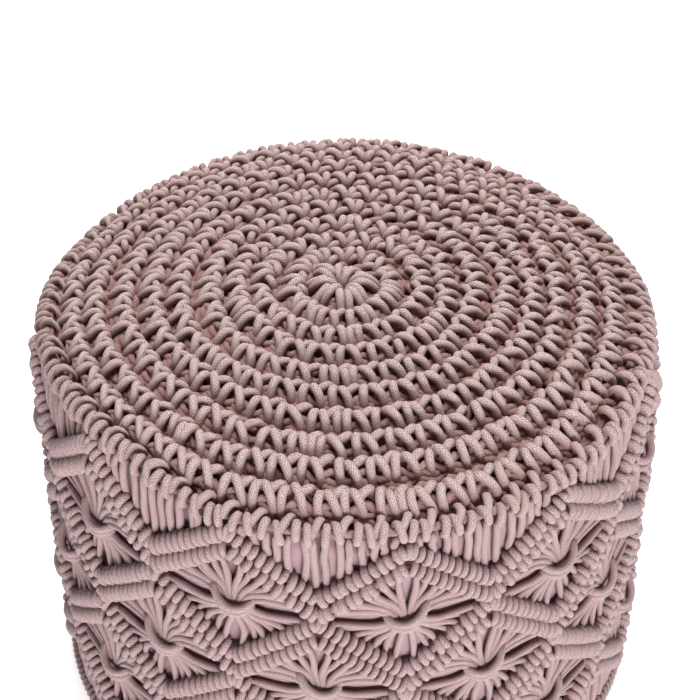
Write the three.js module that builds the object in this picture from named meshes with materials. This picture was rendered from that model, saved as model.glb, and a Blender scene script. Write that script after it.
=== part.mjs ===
// Round footstool: a filled cushion under a crocheted top, inside a knotted macrame side.
// Millimetres, +Z up, floor at z = 0. Angles are degrees from the front (-Y) towards +X.
import * as THREE from "three";

// Overall form
const RIM_HEIGHT = 294;
const RIM_RADIUS = 200;
const CROWN_RISE = 20;
const CROWN_POWER = 4.83;
const CLEARANCE = 0.4;

// Crocheted top
const TOP_RADIUS = 195;
const TOP_THICKNESS = 9;
const ROUND_PITCH = 18.75;
const FIRST_CREST_RADIUS = 12.5;
const FIRST_GROOVE_RADIUS = 3.1;
const CREST_HEIGHT = 2.6;
const STITCH_DIP = 2;
const GROOVE_DEPTH = 4.2;
const STITCHES_IN_ROUND = [10, 16, 22, 28, 34, 41, 47, 53, 59, 64];
const EDGE_STATIONS = 72;

// Cushion
const CUSHION_RADIUS = 198.4;
const CUSHION_SIDES = 48;
const UNDERSIDE_RADII = [45, 90, 125, 150, 168, 181, 189];

// Knotted side
const REPEATS = 12;
const REPEAT_ANGLE = 360 / REPEATS;
const FIRST_APEX_ANGLE = 10;
const ZIGZAGS = 4;
const ZIGZAG_DROP = 46;
const ZIGZAG_PERIOD = 66;
const FIRST_APEX_DEPTH = 21.5;
const BAND_HALF_HEIGHT = 14;
const ROW_OFFSET = 7.5;
const CONTACT_ANGLE = 1.3;
const BACK_RADIUS = 199.6;
const BAND_EDGE_RADIUS = 204.5;
const LUMP_RADIUS = 212;
const LUMP_DIP_RADIUS = 209.4;
const LUMP_STEPS = 5;
const GROOVE_RADIUS = 206.4;
const GROOVE_STEPS = 2;

// Strands and fans, as angles from the nearest apex
const STRAND_ANGLES = [7.5, 12.5];
const STRAND_HALF_ANGLE = 1.25;
const STRAND_FRONT_RADIUS = 205.6;
const STRAND_EDGE_RADIUS = 203.4;
const PLATE_HALF_ANGLE = 3.75;
const FAN = { inner: 3.6, innerRib: 5.3, groove: 7, outerRib: 8.7, outer: 10.4 };
const FAN_RIB_RADIUS = 206;
const FAN_EDGE_RADIUS = 203.2;

// Gathering knots
const KNOT_HALF_ANGLE = 3.1;
const KNOT_HALF_HEIGHT = 9.5;
const KNOT_WAIST_ANGLE = 1;
const KNOT_RADIUS = 212;
const KNOT_DIP_RADIUS = 209;

// Lark's head ring at the rim and hem ring at the floor
const RING_INNER_RADIUS = 195.8;
const RING_TOP_RADIUS = 200;
const RING_TOP_RISE = 2.4;
const RING_BOTTOM_DEPTH = 11;
const HEM_HEIGHT = 12;
const HEM_FOOT_RADIUS = 204;
const RING_LUMP_RADIUS = 207.2;
const RING_DIP_RADIUS = 205.2;

/** Height of the crown above the rim at a radius. */
function crown(radius) {
  return CROWN_RISE * (1 - Math.pow(Math.min(radius / RIM_RADIUS, 1), CROWN_POWER));
}

/** A closed skin of triangles, filled point by point. */
class Skin {
  constructor() {
    this.positions = [];
    this.triangles = [];
  }

  point(angle, radius, z) {
    const turn = THREE.MathUtils.degToRad(angle);
    this.positions.push(radius * Math.sin(turn), -radius * Math.cos(turn), z);
    return this.positions.length / 3 - 1;
  }

  triangle(a, b, c) {
    this.triangles.push(a, b, c);
  }

  /** Faces between two closed loops of { angle, index }; the low one is below as seen from outside. */
  loops(low, high) {
    const whole = (loop) => [...loop, { angle: loop[0].angle + 360, index: loop[0].index }];
    bridge(whole(low), whole(high), (a, b, c) => this.triangle(a.index, b.index, c.index));
  }

  mesh(name, colour, roughness) {
    const geometry = new THREE.BufferGeometry();
    geometry.setAttribute("position", new THREE.Float32BufferAttribute(this.positions, 3));
    geometry.setIndex(this.triangles);
    geometry.computeVertexNormals();
    const material = new THREE.MeshStandardMaterial({ color: colour, roughness, metalness: 0 });
    material.name = name;
    const mesh = new THREE.Mesh(geometry, material);
    mesh.name = name;
    return mesh;
  }
}

/** Calls addTriangle between two chains that run left to right, in step with their angles. */
function bridge(lower, upper, addTriangle) {
  const lastLow = lower.length - 1;
  const lastHigh = upper.length - 1;
  let i = 0;
  let j = 0;
  while (i < lastLow || j < lastHigh) {
    const lowFirst =
      j === lastHigh ||
      (i < lastLow && lower[i].angle + lower[i + 1].angle <= upper[j].angle + upper[j + 1].angle);
    if (lowFirst) {
      addTriangle(lower[i], lower[i + 1], upper[j]);
      i += 1;
    } else {
      addTriangle(lower[i], upper[j + 1], upper[j]);
      j += 1;
    }
  }
}

/** A closed loop of evenly spaced points on a skin. */
function circle(skin, count, radiusAt, heightAt, startAngle = 0) {
  const loop = [];
  for (let i = 0; i < count; i += 1) {
    const angle = startAngle + (360 * i) / count;
    loop.push({ angle, index: skin.point(angle, radiusAt(i), heightAt(i)) });
  }
  return loop;
}

/** Closes a loop with a fan about a centre point; the fan faces up or down. */
function cap(skin, loop, centre, facesUp) {
  loop.forEach((here, i) => {
    const next = loop[(i + 1) % loop.length];
    if (facesUp) {
      skin.triangle(here.index, next.index, centre);
    } else {
      skin.triangle(next.index, here.index, centre);
    }
  });
}

/** Height of the crochet's underside at a radius. */
function underside(radius) {
  return RIM_HEIGHT - TOP_THICKNESS + crown(radius);
}

/** The crocheted top: rounds of raised stitches above a smooth underside. */
function crochetTop() {
  const skin = new Skin();
  const centreTop = skin.point(0, 0, RIM_HEIGHT + crown(0) - GROOVE_DEPTH);
  let inner = null;
  STITCHES_IN_ROUND.forEach((stitches, round) => {
    const grooveRadius = FIRST_GROOVE_RADIUS + ROUND_PITCH * round;
    const crestRadius = FIRST_CREST_RADIUS + ROUND_PITCH * round;
    const start = (round % 2) * (180 / stitches);
    const grooveZ = RIM_HEIGHT + crown(grooveRadius) - GROOVE_DEPTH;
    const crestZ = RIM_HEIGHT + crown(crestRadius) + CREST_HEIGHT;
    const groove = circle(skin, stitches, () => grooveRadius, () => grooveZ, start);
    const crest = circle(
      skin,
      2 * stitches,
      () => crestRadius,
      (i) => crestZ - (i % 2) * STITCH_DIP,
      start,
    );
    if (inner) {
      skin.loops(groove, inner);
    } else {
      cap(skin, groove, centreTop, true);
    }
    skin.loops(crest, groove);
    inner = crest;
  });
  const edgeZ = RIM_HEIGHT + crown(TOP_RADIUS) - GROOVE_DEPTH;
  const edge = circle(skin, EDGE_STATIONS, () => TOP_RADIUS, () => edgeZ);
  skin.loops(edge, inner);
  const lip = circle(skin, EDGE_STATIONS, () => TOP_RADIUS, () => underside(TOP_RADIUS));
  skin.loops(lip, edge);
  let outer = lip;
  [...UNDERSIDE_RADII].reverse().forEach((radius) => {
    const loop = circle(skin, CUSHION_SIDES, () => radius, () => underside(radius));
    skin.loops(loop, outer);
    outer = loop;
  });
  cap(skin, outer, skin.point(0, 0, underside(0)), false);
  return skin.mesh("crochet_top", 0xb98d92, 0.9);
}

/** The filled cushion: flat base, rounded edges and the crown under the crochet. */
function cushion() {
  const skin = new Skin();
  const shoulder = RIM_HEIGHT - TOP_THICKNESS - CLEARANCE;
  const sideProfile = [
    [184, 0],
    [192, 3],
    [196.6, 10],
    [CUSHION_RADIUS, 24],
    [CUSHION_RADIUS, RIM_HEIGHT - 34],
    [196.8, RIM_HEIGHT - 22],
    [193.6, RIM_HEIGHT - 13],
  ];
  const topProfile = [...UNDERSIDE_RADII].reverse().map((radius) => [radius, shoulder + crown(radius)]);
  let lower = null;
  [...sideProfile, ...topProfile].forEach(([radius, z]) => {
    const loop = circle(skin, CUSHION_SIDES, () => radius, () => z);
    if (lower) {
      skin.loops(lower, loop);
    } else {
      cap(skin, loop, skin.point(0, 0, 0), false);
    }
    lower = loop;
  });
  cap(skin, lower, skin.point(0, 0, shoulder + crown(0)), true);
  return skin.mesh("cushion", 0xc3989d, 0.8);
}

/** One point of the net: a front vertex and, unless it is inside a face, a back vertex behind it. */
class NetPoint {
  constructor(angle, z, frontRadius, options = {}) {
    this.angle = angle;
    this.z = z;
    this.frontRadius = frontRadius;
    this.backRadius = options.backRadius ?? BACK_RADIUS;
    this.backZ = options.backZ ?? z;
    this.frontOnly = options.frontOnly ?? false;
    this.front = -1;
    this.back = -1;
  }
}

/** The net of the side: front faces, back faces and the walls around every gap. */
class Net {
  constructor() {
    this.skin = new Skin();
    this.sides = new Map();
  }

  front(point) {
    if (point.front < 0) {
      point.front = this.skin.point(point.angle, point.frontRadius, point.z);
    }
    return point.front;
  }

  back(point) {
    if (point.back < 0) {
      point.back = this.skin.point(point.angle, point.backRadius, point.backZ);
    }
    return point.back;
  }

  frontTriangle(a, b, c) {
    const corners = [a, b, c];
    this.skin.triangle(...corners.map((point) => this.front(point)));
    corners.forEach((point, i) => {
      const next = corners[(i + 1) % 3];
      const key = `${this.front(point)},${this.front(next)}`;
      this.sides.set(key, [point, next]);
    });
  }

  backTriangle(a, b, c) {
    this.skin.triangle(this.back(c), this.back(b), this.back(a));
  }

  frontStrip(lower, upper) {
    bridge(lower, upper, (a, b, c) => this.frontTriangle(a, b, c));
  }

  backStrip(lower, upper) {
    const backed = (chain) => chain.filter((point) => !point.frontOnly);
    bridge(backed(lower), backed(upper), (a, b, c) => this.backTriangle(a, b, c));
  }

  /** A strand or fan between a chain on one bar and a chain on the bar above. */
  web(lower, upper) {
    this.frontStrip(lower, upper);
    this.backStrip(lower, upper);
  }

  /** Walls from front to back along every open edge of the front faces. */
  addWalls() {
    [...this.sides.values()].forEach(([a, b]) => {
      if (!this.sides.has(`${b.front},${a.front}`)) {
        this.skin.triangle(b.front, a.front, this.back(a));
        this.skin.triangle(b.front, this.back(a), this.back(b));
      }
    });
  }
}

/** Angle of the apex or valley column with this number; even columns hold the first zigzag's apexes. */
function columnAngle(column) {
  return FIRST_APEX_ANGLE + (REPEAT_ANGLE / 2) * column;
}

/** Middle height of a zigzag band at an angle from its own upper vertex. */
function bandMiddle(zigzag, fromApex) {
  const apex = RIM_HEIGHT - FIRST_APEX_DEPTH - ZIGZAG_PERIOD * zigzag;
  return apex - (ZIGZAG_DROP * Math.abs(fromApex)) / (REPEAT_ANGLE / 2);
}

/** Whether a zigzag has its upper vertex on a column. */
function isApex(zigzag, column) {
  return (zigzag + column) % 2 === 0;
}

/** The points where a fan meets a bar: its two edges, two ribs and the groove between them. */
function fanPoints(apexAngle, direction, heightAt) {
  const points = [
    [FAN.inner, FAN_EDGE_RADIUS, false],
    [FAN.innerRib, FAN_RIB_RADIUS, true],
    [FAN.groove, FAN_EDGE_RADIUS, true],
    [FAN.outerRib, FAN_RIB_RADIUS, true],
    [FAN.outer, FAN_EDGE_RADIUS, false],
  ].map(
    ([offset, radius, frontOnly]) =>
      new NetPoint(apexAngle + direction * offset, heightAt(offset), radius, { frontOnly }),
  );
  return direction > 0 ? points : points.reverse();
}

/** The points where one hanging strand meets a bar. */
function strandPoints(angle, heightAt) {
  return [
    [-STRAND_HALF_ANGLE, STRAND_EDGE_RADIUS, false],
    [0, STRAND_FRONT_RADIUS, true],
    [STRAND_HALF_ANGLE, STRAND_EDGE_RADIUS, false],
  ].map(
    ([offset, radius, frontOnly]) =>
      new NetPoint(angle + offset, heightAt(angle + offset), radius, { frontOnly }),
  );
}

/** A chain closed by its first point, a whole turn on. */
function closed(chain) {
  const first = chain[0];
  const last = Object.create(first, { angle: { value: first.angle + 360 } });
  return [...chain, last];
}

/** The knotted side as one fused piece. */
function macrameSide() {
  const net = new Net();
  const columns = 2 * REPEATS;
  const half = REPEAT_ANGLE / 2;
  const edges = [];
  for (let zigzag = 0; zigzag < ZIGZAGS; zigzag += 1) {
    edges.push({ upper: [], lower: [] });
  }
  const topRing = [];
  const hemRing = [];
  const ringBottom = RIM_HEIGHT - RING_BOTTOM_DEPTH;
  const webs = [];

  for (let column = 0; column < columns; column += 1) {
    const angle = columnAngle(column);

    // Hanging strands above the first zigzag and below the last one
    if (isApex(0, column)) {
      const upperEdge = (at) => bandMiddle(0, at - angle) + BAND_HALF_HEIGHT;
      const plateLow = [-PLATE_HALF_ANGLE, 0, PLATE_HALF_ANGLE].map(
        (offset) => new NetPoint(angle + offset, upperEdge(angle + offset), BAND_EDGE_RADIUS),
      );
      const plateHigh = [-PLATE_HALF_ANGLE, PLATE_HALF_ANGLE].map(
        (offset) => new NetPoint(angle + offset, ringBottom, BAND_EDGE_RADIUS),
      );
      plateLow[1].frontOnly = true;
      webs.push([plateLow, plateHigh]);
      edges[0].upper.push(...plateLow);
      topRing.push(...plateHigh);
      [-1, 1].forEach((direction) => {
        STRAND_ANGLES.forEach((offset) => {
          const strandAngle = angle + direction * offset;
          const low = strandPoints(strandAngle, upperEdge);
          const high = strandPoints(strandAngle, () => ringBottom);
          webs.push([low, high]);
          edges[0].upper.push(...low);
          topRing.push(...high);
        });
      });
    }
    if (isApex(ZIGZAGS, column)) {
      const last = ZIGZAGS - 1;
      const lowerEdge = (at) => bandMiddle(last, half - Math.abs(at - angle)) - BAND_HALF_HEIGHT;
      const plateHigh = [-PLATE_HALF_ANGLE, 0, PLATE_HALF_ANGLE].map(
        (offset) => new NetPoint(angle + offset, lowerEdge(angle + offset), BAND_EDGE_RADIUS),
      );
      const plateLow = [-PLATE_HALF_ANGLE, PLATE_HALF_ANGLE].map(
        (offset) => new NetPoint(angle + offset, HEM_HEIGHT, BAND_EDGE_RADIUS),
      );
      plateHigh[1].frontOnly = true;
      webs.push([plateLow, plateHigh]);
      edges[last].lower.push(...plateHigh);
      hemRing.push(...plateLow);
      [-1, 1].forEach((direction) => {
        STRAND_ANGLES.forEach((offset) => {
          const strandAngle = angle + direction * offset;
          const high = strandPoints(strandAngle, lowerEdge);
          const low = strandPoints(strandAngle, () => HEM_HEIGHT);
          webs.push([low, high]);
          edges[last].lower.push(...high);
          hemRing.push(...low);
        });
      });
    }

    // Valley tips that stay free of a neighbour: the first band's upper edge and the last band's lower edge
    if (!isApex(0, column)) {
      edges[0].upper.push(new NetPoint(angle, bandMiddle(0, half) + BAND_HALF_HEIGHT, BAND_EDGE_RADIUS));
    }
    if (isApex(ZIGZAGS - 1, column)) {
      const z = bandMiddle(ZIGZAGS - 1, 0) - BAND_HALF_HEIGHT;
      edges[ZIGZAGS - 1].lower.push(new NetPoint(angle, z, BAND_EDGE_RADIUS));
    }

    for (let zigzag = 0; zigzag + 1 < ZIGZAGS; zigzag += 1) {
      if (isApex(zigzag, column)) {
        addDiamond(net, webs, edges, zigzag, angle);
      } else {
        // Crossing of this zigzag's valley with the next one's apex
        const z = (bandMiddle(zigzag, half) + bandMiddle(zigzag + 1, 0)) / 2;
        const contact = [-CONTACT_ANGLE, CONTACT_ANGLE].map(
          (offset) => new NetPoint(angle + offset, z, BAND_EDGE_RADIUS),
        );
        edges[zigzag].lower.push(...contact);
        edges[zigzag + 1].upper.push(...contact);
      }
    }
  }

  edges.forEach((edge, zigzag) => addBand(net, edge, zigzag));
  webs.forEach(([low, high]) => net.web(low, high));
  addTopRing(net, topRing);
  addHemRing(net, hemRing);
  net.addWalls();
  return net.skin.mesh("macrame_side", 0xb4878c, 0.9);
}

/** One diamond: four fans between the bars and a ridged gathering knot at the middle. */
function addDiamond(net, webs, edges, zigzag, angle) {
  const half = REPEAT_ANGLE / 2;
  const upperBar = (offset) => bandMiddle(zigzag, offset) - BAND_HALF_HEIGHT;
  const lowerBar = (offset) => bandMiddle(zigzag + 1, half - offset) + BAND_HALF_HEIGHT;
  const middle = (upperBar(0) + lowerBar(0)) / 2;
  const upperTip = new NetPoint(angle, upperBar(0), BAND_EDGE_RADIUS);
  const lowerTip = new NetPoint(angle, lowerBar(0), BAND_EDGE_RADIUS);
  const fans = { upper: {}, lower: {} };
  [-1, 1].forEach((direction) => {
    fans.upper[direction] = fanPoints(angle, direction, upperBar);
    fans.lower[direction] = fanPoints(angle, direction, lowerBar);
  });
  edges[zigzag].lower.push(...fans.upper[-1], upperTip, ...fans.upper[1]);
  edges[zigzag + 1].upper.push(...fans.lower[-1], lowerTip, ...fans.lower[1]);

  // Rim of the knot: an edge for each fan, with a waist between neighbours
  const corner = (side, level, frontOnly = false) => {
    const radius = frontOnly ? FAN_EDGE_RADIUS + 1 : FAN_EDGE_RADIUS;
    return new NetPoint(angle + side, middle + level, radius, { frontOnly });
  };
  const high = KNOT_HALF_HEIGHT;
  const low = KNOT_HALF_HEIGHT * 0.35;
  const wide = KNOT_HALF_ANGLE;
  const slim = KNOT_WAIST_ANGLE;
  const between = (wide + slim) / 2;
  const rise = (high + low) / 2 + 0.8;
  const rims = {
    upperLeft: [corner(-wide, low), corner(-between, rise, true), corner(-slim, high)],
    upperRight: [corner(slim, high), corner(between, rise, true), corner(wide, low)],
    lowerRight: [corner(slim, -high), corner(between, -rise, true), corner(wide, -low)],
    lowerLeft: [corner(-wide, -low), corner(-between, -rise, true), corner(-slim, -high)],
  };
  webs.push([rims.upperLeft, fans.upper[-1]]);
  webs.push([rims.upperRight, fans.upper[1]]);
  webs.push([fans.lower[1], rims.lowerRight]);
  webs.push([fans.lower[-1], rims.lowerLeft]);

  // Ridged dome: two raised wraps with a dip between them
  const ridge = (side, level, radius) =>
    new NetPoint(angle + side, middle + level, radius, { frontOnly: true });
  const upperWrap = [
    ridge(-wide * 0.72, low * 0.9, KNOT_DIP_RADIUS),
    ridge(0, high * 0.62, KNOT_RADIUS),
    ridge(wide * 0.72, low * 0.9, KNOT_DIP_RADIUS),
  ];
  const dip = [
    ridge(-wide * 0.8, 0, KNOT_DIP_RADIUS - 1),
    ridge(0, 0, KNOT_DIP_RADIUS - 1),
    ridge(wide * 0.8, 0, KNOT_DIP_RADIUS - 1),
  ];
  const lowerWrap = [
    ridge(-wide * 0.72, -low * 0.9, KNOT_DIP_RADIUS),
    ridge(0, -high * 0.62, KNOT_RADIUS),
    ridge(wide * 0.72, -low * 0.9, KNOT_DIP_RADIUS),
  ];
  const topRim = [...rims.upperLeft, ...rims.upperRight];
  const bottomRim = [...rims.lowerLeft, ...rims.lowerRight];
  net.frontStrip(upperWrap, topRim);
  net.frontStrip(dip, upperWrap);
  net.frontStrip(lowerWrap, dip);
  net.frontStrip(bottomRim, lowerWrap);
  const leftSide = [topRim[0], upperWrap[0], dip[0], lowerWrap[0], bottomRim[0]];
  const rightSide = [topRim[5], upperWrap[2], dip[2], lowerWrap[2], bottomRim[5]];
  for (let i = 1; i + 1 < leftSide.length; i += 1) {
    net.frontTriangle(leftSide[i + 1], leftSide[i], leftSide[0]);
    net.frontTriangle(rightSide[i], rightSide[i + 1], rightSide[0]);
  }
  net.backStrip(bottomRim, topRim);
}

/** A closed chain along a zigzag, at a height from its middle line, with a front radius for each step. */
function bandChain(zigzag, offset, stepsInArm, radiusAt) {
  const chain = [];
  const arm = REPEAT_ANGLE / 2;
  for (let step = 0; step < 2 * REPEATS * stepsInArm; step += 1) {
    const fromFirst = (step * arm) / stepsInArm;
    const within = (fromFirst + (zigzag % 2) * arm) % REPEAT_ANGLE;
    const z = bandMiddle(zigzag, Math.min(within, REPEAT_ANGLE - within)) + offset;
    chain.push(new NetPoint(columnAngle(0) + fromFirst, z, radiusAt(step), { frontOnly: true }));
  }
  return closed(chain);
}

/** One zigzag band: two ridged rows with a groove between them. */
function addBand(net, edge, zigzag) {
  const upper = closed(edge.upper.sort((a, b) => a.angle - b.angle));
  const lower = closed(edge.lower.sort((a, b) => a.angle - b.angle));
  const lump = (step) => (step % 2 === 0 ? LUMP_RADIUS : LUMP_DIP_RADIUS);
  const upperRow = bandChain(zigzag, ROW_OFFSET, LUMP_STEPS, lump);
  const groove = bandChain(zigzag, 0, GROOVE_STEPS, () => GROOVE_RADIUS);
  const lowerRow = bandChain(zigzag, -ROW_OFFSET, LUMP_STEPS, (step) => lump(step + 1));
  net.frontStrip(upperRow, upper);
  net.frontStrip(groove, upperRow);
  net.frontStrip(lowerRow, groove);
  net.frontStrip(lower, lowerRow);
  net.backStrip(lower, upper);
}

/** The ring of lark's heads around the edge of the top. */
function addTopRing(net, bottomEdge) {
  const bottom = closed(bottomEdge.sort((a, b) => a.angle - b.angle));
  const lumps = [];
  const top = [];
  const start = bottom[0].angle;
  for (let i = 0; i < EDGE_STATIONS; i += 1) {
    const angle = start + (360 * i) / EDGE_STATIONS;
    const radius = i % 2 === 0 ? RING_LUMP_RADIUS : RING_DIP_RADIUS;
    lumps.push(new NetPoint(angle, RIM_HEIGHT - 4, radius, { frontOnly: true }));
    top.push(
      new NetPoint(angle, RIM_HEIGHT + RING_TOP_RISE, RING_TOP_RADIUS, {
        backRadius: RING_INNER_RADIUS,
        backZ: RIM_HEIGHT,
      }),
    );
  }
  net.frontStrip(bottom, closed(lumps));
  net.frontStrip(closed(lumps), closed(top));
  net.backStrip(bottom, closed(top));
}

/** The hem ring that stands on the floor. */
function addHemRing(net, topEdge) {
  const top = closed(topEdge.sort((a, b) => a.angle - b.angle));
  const lumps = [];
  const foot = [];
  const start = top[0].angle;
  for (let i = 0; i < EDGE_STATIONS; i += 1) {
    const angle = start + (360 * i) / EDGE_STATIONS;
    const radius = i % 2 === 0 ? RING_LUMP_RADIUS : RING_DIP_RADIUS;
    lumps.push(new NetPoint(angle, HEM_HEIGHT / 2, radius, { frontOnly: true }));
    foot.push(new NetPoint(angle, 0, HEM_FOOT_RADIUS));
  }
  net.frontStrip(closed(lumps), top);
  net.frontStrip(closed(foot), closed(lumps));
  net.backStrip(closed(foot), top);
}

const footstool = new THREE.Group();
footstool.name = "macrame_footstool";
footstool.add(cushion());
footstool.add(crochetTop());
footstool.add(macrameSide());

export default footstool;
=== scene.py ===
"""Round macrame footstool: crocheted cotton top, knotted side and the cloth cushion inside.

Lengths are millimetres in the shape code and metres in the finished meshes.
Angles are degrees from the front (-Y) towards +X.
"""

import logging
import math
from dataclasses import dataclass, field
from enum import Enum

import bpy
import numpy as np
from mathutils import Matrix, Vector


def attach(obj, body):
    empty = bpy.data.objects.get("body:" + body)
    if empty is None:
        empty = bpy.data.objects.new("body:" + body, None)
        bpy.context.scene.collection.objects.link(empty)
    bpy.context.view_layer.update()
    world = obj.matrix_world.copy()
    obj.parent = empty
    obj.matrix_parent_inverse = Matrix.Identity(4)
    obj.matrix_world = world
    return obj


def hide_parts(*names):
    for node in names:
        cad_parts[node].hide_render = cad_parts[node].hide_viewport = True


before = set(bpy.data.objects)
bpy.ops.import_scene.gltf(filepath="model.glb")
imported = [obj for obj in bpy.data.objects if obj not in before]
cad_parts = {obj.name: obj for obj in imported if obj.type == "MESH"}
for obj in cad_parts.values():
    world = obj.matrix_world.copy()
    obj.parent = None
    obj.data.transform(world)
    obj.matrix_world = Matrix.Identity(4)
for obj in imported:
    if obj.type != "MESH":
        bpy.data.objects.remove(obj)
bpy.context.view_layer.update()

LOG = logging.getLogger("footstool")
MM = 0.001
FULL_TURN = 2 * math.pi
BODY = "root"
CORD_MAP = "CordMap"
SHADE = "Shade"
Colour = tuple[float, float, float, float]


class Slope(Enum):
    """Which way an arm of a zigzag runs, as seen from outside."""

    RISING = 1
    FALLING = -1


class Row(Enum):
    """The two rows of knots in a zigzag, as offsets from its middle line."""

    UPPER = 7.5
    LOWER = -7.5


class Yarn(Enum):
    """The cord of the top and rim and its darker, more lilac copy with painted shade for the side, by the
    names of their materials.
    """

    TOP = "top_cord"
    SIDE = "shaded_side_cord"


class Leg(Enum):
    """The legs of a stitch: where one starts beside the stitch, and how far it leans over."""

    LEFT = (-2.8, 0.3)
    RIGHT = (2.8, 8.3)
    EXTRA = (-8.6, 0.9)


# Points and faces


def columns(table: tuple[tuple[float, ...], ...] | list[tuple[float, ...]]) -> list[np.ndarray]:
    """The columns of a table, each as an array."""
    return [np.array(column) for column in zip(*table)]


def place(angle: np.ndarray, radius: np.ndarray | float, height: np.ndarray | float) -> np.ndarray:
    """Points from angles in degrees, radii and heights.

    Args:
        angle: Angles from the front, in degrees.
        radius: Distances from the axis.
        height: Heights above the floor.

    Returns:
        An array of the same shape with x, y and z along a last axis.
    """
    turn = np.radians(angle)
    x = radius * np.sin(turn)
    y = -radius * np.cos(turn)
    return np.stack(np.broadcast_arrays(x, y, height), axis=-1)


def smooth(control: np.ndarray, count: int) -> np.ndarray:
    """Smooth curves through control points.

    Args:
        control: Control points, one row of points for each curve.
        count: Number of points on each curve.

    Returns:
        Points along each curve, with a shape of (curves, count, 3).
    """
    before = 2 * control[:, :1] - control[:, 1:2]
    after = 2 * control[:, -1:] - control[:, -2:-1]
    padded = np.concatenate([before, control, after], axis=1)
    at = np.linspace(0.0, control.shape[1] - 1 - 1e-9, count)
    start = at.astype(int)
    t = (at - start)[None, :, None]
    a, b, c, d = (padded[:, start + k] for k in range(4))
    square = 2 * a - 5 * b + 4 * c - d
    cube = 3 * b - a - 3 * c + d
    return 0.5 * (2 * b + (c - a) * t + square * t**2 + cube * t**3)


def unit(vectors: np.ndarray) -> np.ndarray:
    """Vectors scaled to a length of one."""
    return vectors / np.maximum(np.linalg.norm(vectors, axis=-1, keepdims=True), 1e-9)


def outward(points: np.ndarray) -> np.ndarray:
    """Directions away from the stool's middle, up on its top and level on its side.

    Args:
        points: Points in millimetres.

    Returns:
        One direction for each point.
    """
    side_radius = 203.0
    middle_height = 150.0
    half_height = 155.0
    edge_power = 7
    flat = points * np.array([1.0, 1.0, 0.0])
    radius = np.linalg.norm(flat, axis=-1, keepdims=True)
    level = (radius / side_radius) ** edge_power
    rise = (points[..., 2:] - middle_height) / half_height
    direction = flat / np.maximum(radius, 1e-6) * level
    return unit(direction + np.array([0.0, 0.0, 1.0]) * np.sign(rise) * np.abs(rise) ** edge_power)


def sleeve(number: np.ndarray) -> np.ndarray:
    """Faces between the rings of closed sections.

    Args:
        number: Point numbers, with a shape of (bodies, rings, points of a ring).

    Returns:
        Four point numbers for each face, one face in a row.
    """
    right = np.roll(number, -1, axis=2)
    faces = np.stack([number[:, :-1], right[:, :-1], right[:, 1:], number[:, 1:]], axis=-1)
    return faces.reshape(-1, 4)


def ends(number: np.ndarray) -> np.ndarray:
    """Faces that close the first and the last ring of each body.

    Args:
        number: Point numbers, with a shape of (bodies, rings, points of a ring).

    Returns:
        The point numbers of each face, one face in a row.
    """
    return np.concatenate([number[:, 0, ::-1], number[:, -1]])


def mesh_object(
    name: str,
    points: np.ndarray,
    faces: list[np.ndarray],
    shade: np.ndarray | None = None,
    corners: np.ndarray | None = None,
) -> bpy.types.Object:
    """A smooth mesh object.

    Args:
        name: Name of the object.
        points: Points in metres.
        faces: Point numbers, a row for each face, in one array for each number of corners.
        shade: Share of the light that reaches each point, if it is shaded.
        corners: Map places of each face's corners, if it has a map.

    Returns:
        The new object, linked to the scene.
    """
    mesh = bpy.data.meshes.new(name)
    mesh.vertices.add(len(points))
    mesh.vertices.foreach_set("co", points.astype(np.float32).ravel())
    order = np.concatenate([part.ravel() for part in faces]).astype(np.int32)
    sides = np.concatenate([np.full(len(part), part.shape[1]) for part in faces])
    mesh.loops.add(len(order))
    mesh.loops.foreach_set("vertex_index", order)
    mesh.polygons.add(len(sides))
    mesh.polygons.foreach_set("loop_start", (np.cumsum(sides) - sides).astype(np.int32))
    mesh.polygons.foreach_set("use_smooth", np.ones(len(sides), dtype=bool))
    if corners is not None:
        layer = mesh.uv_layers.new(name=CORD_MAP, do_init=False)
        layer.uv.foreach_set("vector", corners.astype(np.float32).ravel())
    mesh.update(calc_edges=True)
    mesh.validate()
    if shade is not None:
        layer = mesh.attributes.new(SHADE, "FLOAT", "POINT")
        layer.data.foreach_set("value", shade.astype(np.float32).ravel())
    piece = bpy.data.objects.new(name, mesh)
    bpy.context.scene.collection.objects.link(piece)
    return piece


# Shape shared by all the pieces


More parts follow.
